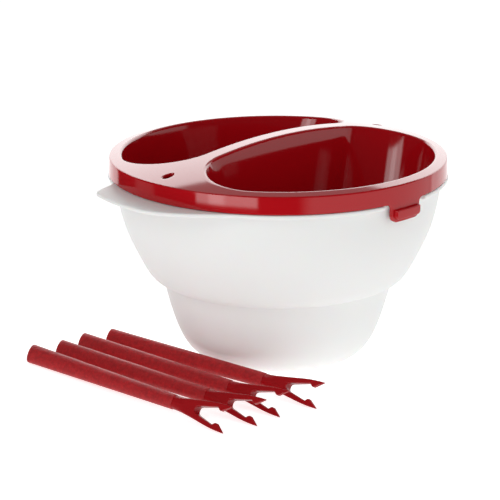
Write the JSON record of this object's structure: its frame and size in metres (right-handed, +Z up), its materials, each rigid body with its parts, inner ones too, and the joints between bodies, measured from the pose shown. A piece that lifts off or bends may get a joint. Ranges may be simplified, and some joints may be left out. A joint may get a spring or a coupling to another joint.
{
  "type": "two-well fondue set",
  "caption": "Stepped white water bowl with flange grips, a glossy red drop-in insert with divided D-shaped wells and snap clips, and barbed two-tined forks lying beside it.",
  "frame": {"origin": "on the table under the bowl's axis, at the centre of the bowl's flat base", "axes": "+Z up along the bowl's axis; +X towards the front snap clip; +Y along the divider between the wells, towards one flange grip"},
  "size_m": [0.1944, 0.2308, 0.126],
  "materials": {
    "white_plastic": "satin white polypropylene, faintly translucent",
    "gloss_red": "high-gloss deep red, polished mould surface",
    "satin_red": "satin red with a fine moulded grain"
  },
  "bodies": {
    "bowl": {"bowl": "white_plastic"},
    "insert": {"insert": "gloss_red"},
    "clip_front": {"clip_front": "gloss_red"},
    "clip_back": {"clip_back": "gloss_red"},
    "fork_1": {"fork_1": "satin_red"},
    "fork_2": {"fork_2": "satin_red"},
    "fork_3": {"fork_3": "satin_red"},
    "fork_4": {"fork_4": "satin_red"}
  },
  "joints": [
    {"name": "insert_lift", "type": "slide", "parent": "bowl", "child": "insert", "axis": [0, 0, 1], "range_m": [0, 0.12]},
    {"name": "clip_front_flex", "type": "hinge", "parent": "insert", "child": "clip_front", "pos_m": [0.094, 0, 0.1048], "axis": [0, -1, 0], "range_deg": [0, 12], "stiffness_Nm_per_rad": 0.8},
    {"name": "clip_back_flex", "type": "hinge", "parent": "insert", "child": "clip_back", "pos_m": [-0.094, 0, 0.1048], "axis": [0, 1, 0], "range_deg": [0, 12], "stiffness_Nm_per_rad": 0.8},
    {"name": "fork_1_slide", "type": "slide", "parent": "bowl", "child": "fork_1", "axis": [-0.9998, -0.022, 0], "range_m": [0, 0.12]},
    {"name": "fork_2_slide", "type": "slide", "parent": "bowl", "child": "fork_2", "axis": [-0.9991, -0.0419, 0], "range_m": [0, 0.12]},
    {"name": "fork_3_slide", "type": "slide", "parent": "bowl", "child": "fork_3", "axis": [-0.999, -0.0455, 0], "range_m": [0, 0.12]},
    {"name": "fork_4_slide", "type": "slide", "parent": "bowl", "child": "fork_4", "axis": [-0.9963, -0.0863, 0], "range_m": [0, 0.12]}
  ]
}
